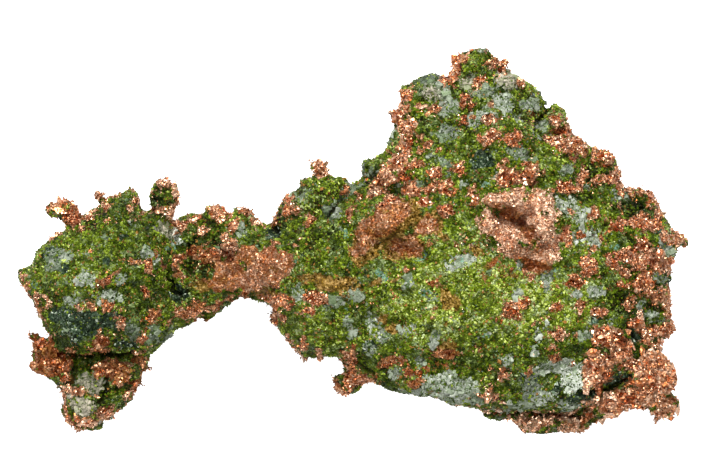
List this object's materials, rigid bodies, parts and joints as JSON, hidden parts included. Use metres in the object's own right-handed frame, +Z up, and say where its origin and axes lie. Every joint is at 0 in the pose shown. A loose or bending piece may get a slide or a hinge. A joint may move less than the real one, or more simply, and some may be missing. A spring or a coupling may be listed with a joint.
{
  "type": "native copper nugget",
  "caption": "Natural copper nugget with a green, grey and dark mineral crust: a broad rough body joined by a thin neck to a small rounded head.",
  "frame": {"origin": "under the middle of the nugget's box, on the surface that it rests on", "axes": "+X from the small head to the large body, +Y to the peak on the body's upper edge, +Z up from the surface it lies on"},
  "size_m": [0.094, 0.0542, 0.0203],
  "materials": {
    "native_copper": "bare native copper, bright on crystal faces, brown in the hollows",
    "epidote": "granular green epidote crust, dull to sub-vitreous",
    "quartz": "pale grey quartz, slightly glossy",
    "chlorite": "dark blue-green chlorite with white specks"
  },
  "bodies": {
    "root": {"copper_nugget": "native_copper"}
  },
  "joints": []
}
